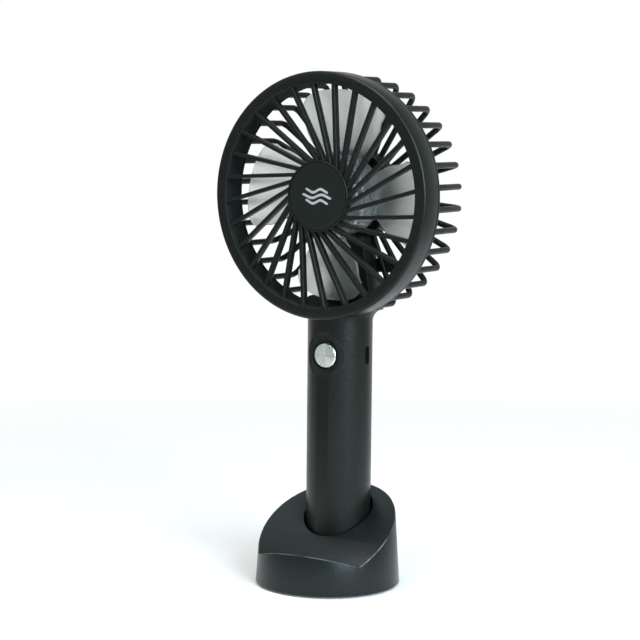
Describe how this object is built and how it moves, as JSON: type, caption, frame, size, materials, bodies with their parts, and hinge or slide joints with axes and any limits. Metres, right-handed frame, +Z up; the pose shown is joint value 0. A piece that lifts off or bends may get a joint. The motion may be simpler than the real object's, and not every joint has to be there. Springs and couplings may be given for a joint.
{
  "type": "handheld electric fan",
  "caption": "Handheld fan: round guarded head on a straight handle with a push button, standing in a round desk dock with a phone ledge.",
  "frame": {"origin": "on the table, under the handle's axis, in the rubber pad's underside", "axes": "+Z up along the handle, the fan blows towards -Y, +X to the right seen from the front"},
  "size_m": [0.104, 0.0617, 0.2179],
  "materials": {
    "black_plastic": "fine moulded grain, satin black",
    "badge_plastic": "smooth satin black",
    "smoke_plastic": "translucent smoky grey, smooth",
    "spun_aluminium": "radially spun, bright chamfer",
    "steel": "plain steel",
    "zinc_screw": "zinc plated",
    "rubber": "matte black rubber",
    "board_green": "green solder resist",
    "cell_wrap": "thin coloured wrap over a metal can",
    "nickel": "nickel plate",
    "red_lead": "lead insulation",
    "black_lead": "lead insulation",
    "switch_plastic": "off-white plastic"
  },
  "bodies": {
    "dock": {"dock_shell": "black_plastic", "dock_bottom_plate": "black_plastic", "dock_weight": "steel", "dock_pad": "rubber", "dock_screw_1": "zinc_screw", "dock_screw_2": "zinc_screw", "dock_screw_3": "zinc_screw"},
    "fan": {"handle_tube": "black_plastic", "handle_end_cap": "black_plastic", "handle_chassis": "black_plastic", "battery_cell": "cell_wrap", "battery_tab_lower": "nickel", "battery_tab_upper": "nickel", "circuit_board": "board_green", "board_screw_upper": "zinc_screw", "board_screw_lower": "zinc_screw", "tact_switch": "switch_plastic", "usb_socket": "nickel", "motor_lead_red": "red_lead", "motor_lead_black": "black_lead", "rear_guard": "black_plastic", "rear_cover": "black_plastic", "motor_can": "steel", "motor_end_cap": "switch_plastic", "motor_screw_left": "zinc_screw", "motor_screw_right": "zinc_screw"},
    "guard": {"front_guard": "black_plastic", "hub_badge": "badge_plastic"},
    "spinner": {"impeller": "smoke_plastic", "motor_shaft": "steel", "motor_rotor": "steel"},
    "power_button": {"button_cap": "spun_aluminium", "button_body": "black_plastic", "switch_plunger": "switch_plastic"}
  },
  "joints": [
    {"name": "fan_lift", "type": "slide", "parent": "dock", "child": "fan", "axis": [0, 0, 1], "range_m": [0, 0.06]},
    {"name": "guard_twist", "type": "hinge", "parent": "fan", "child": "guard", "pos_m": [0, -0.014, 0.1659], "axis": [0, 1, 0], "range_deg": [0, 15]},
    {"name": "impeller_spin", "type": "hinge", "parent": "fan", "child": "spinner", "pos_m": [0, -0.003, 0.1659], "axis": [0, 1, 0], "continuous": true},
    {"name": "button_press", "type": "slide", "parent": "fan", "child": "power_button", "axis": [0, 1, 0], "range_m": [0, 0.0005], "stiffness_N_per_m": 2000}
  ]
}
